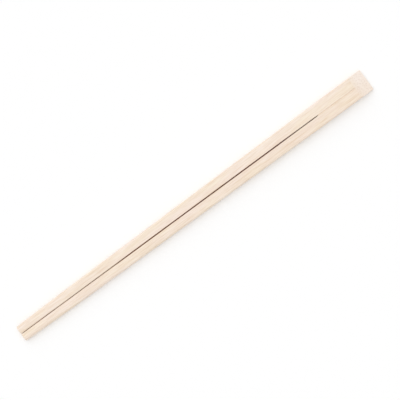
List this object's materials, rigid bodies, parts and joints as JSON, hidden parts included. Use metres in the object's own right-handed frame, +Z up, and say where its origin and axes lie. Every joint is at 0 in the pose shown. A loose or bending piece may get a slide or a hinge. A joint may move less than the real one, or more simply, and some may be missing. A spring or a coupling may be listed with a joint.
{
  "type": "bamboo chopstick pair",
  "caption": "Disposable bamboo chopstick pair: slender tapered sticks, sawn apart from the rounded tips and still joined at a slant-cut head, with a groove to snap them along.",
  "frame": {"origin": "on the table under the middle of the pair: the centre of the bounding box's lowest face", "axes": "+X along the pair from the tips to the head, +Y across both sticks, +Z up from the level underside to the sloping upper face"},
  "size_m": [0.24, 0.0134, 0.005],
  "materials": {
    "bamboo": "bare pale bamboo, planed and tumbled smooth, matt, with fine fibre streaks along the length and dots of cut fibre ends on the slanted head"
  },
  "bodies": {
    "root": {"chopstick_pair": "bamboo"}
  },
  "joints": []
}
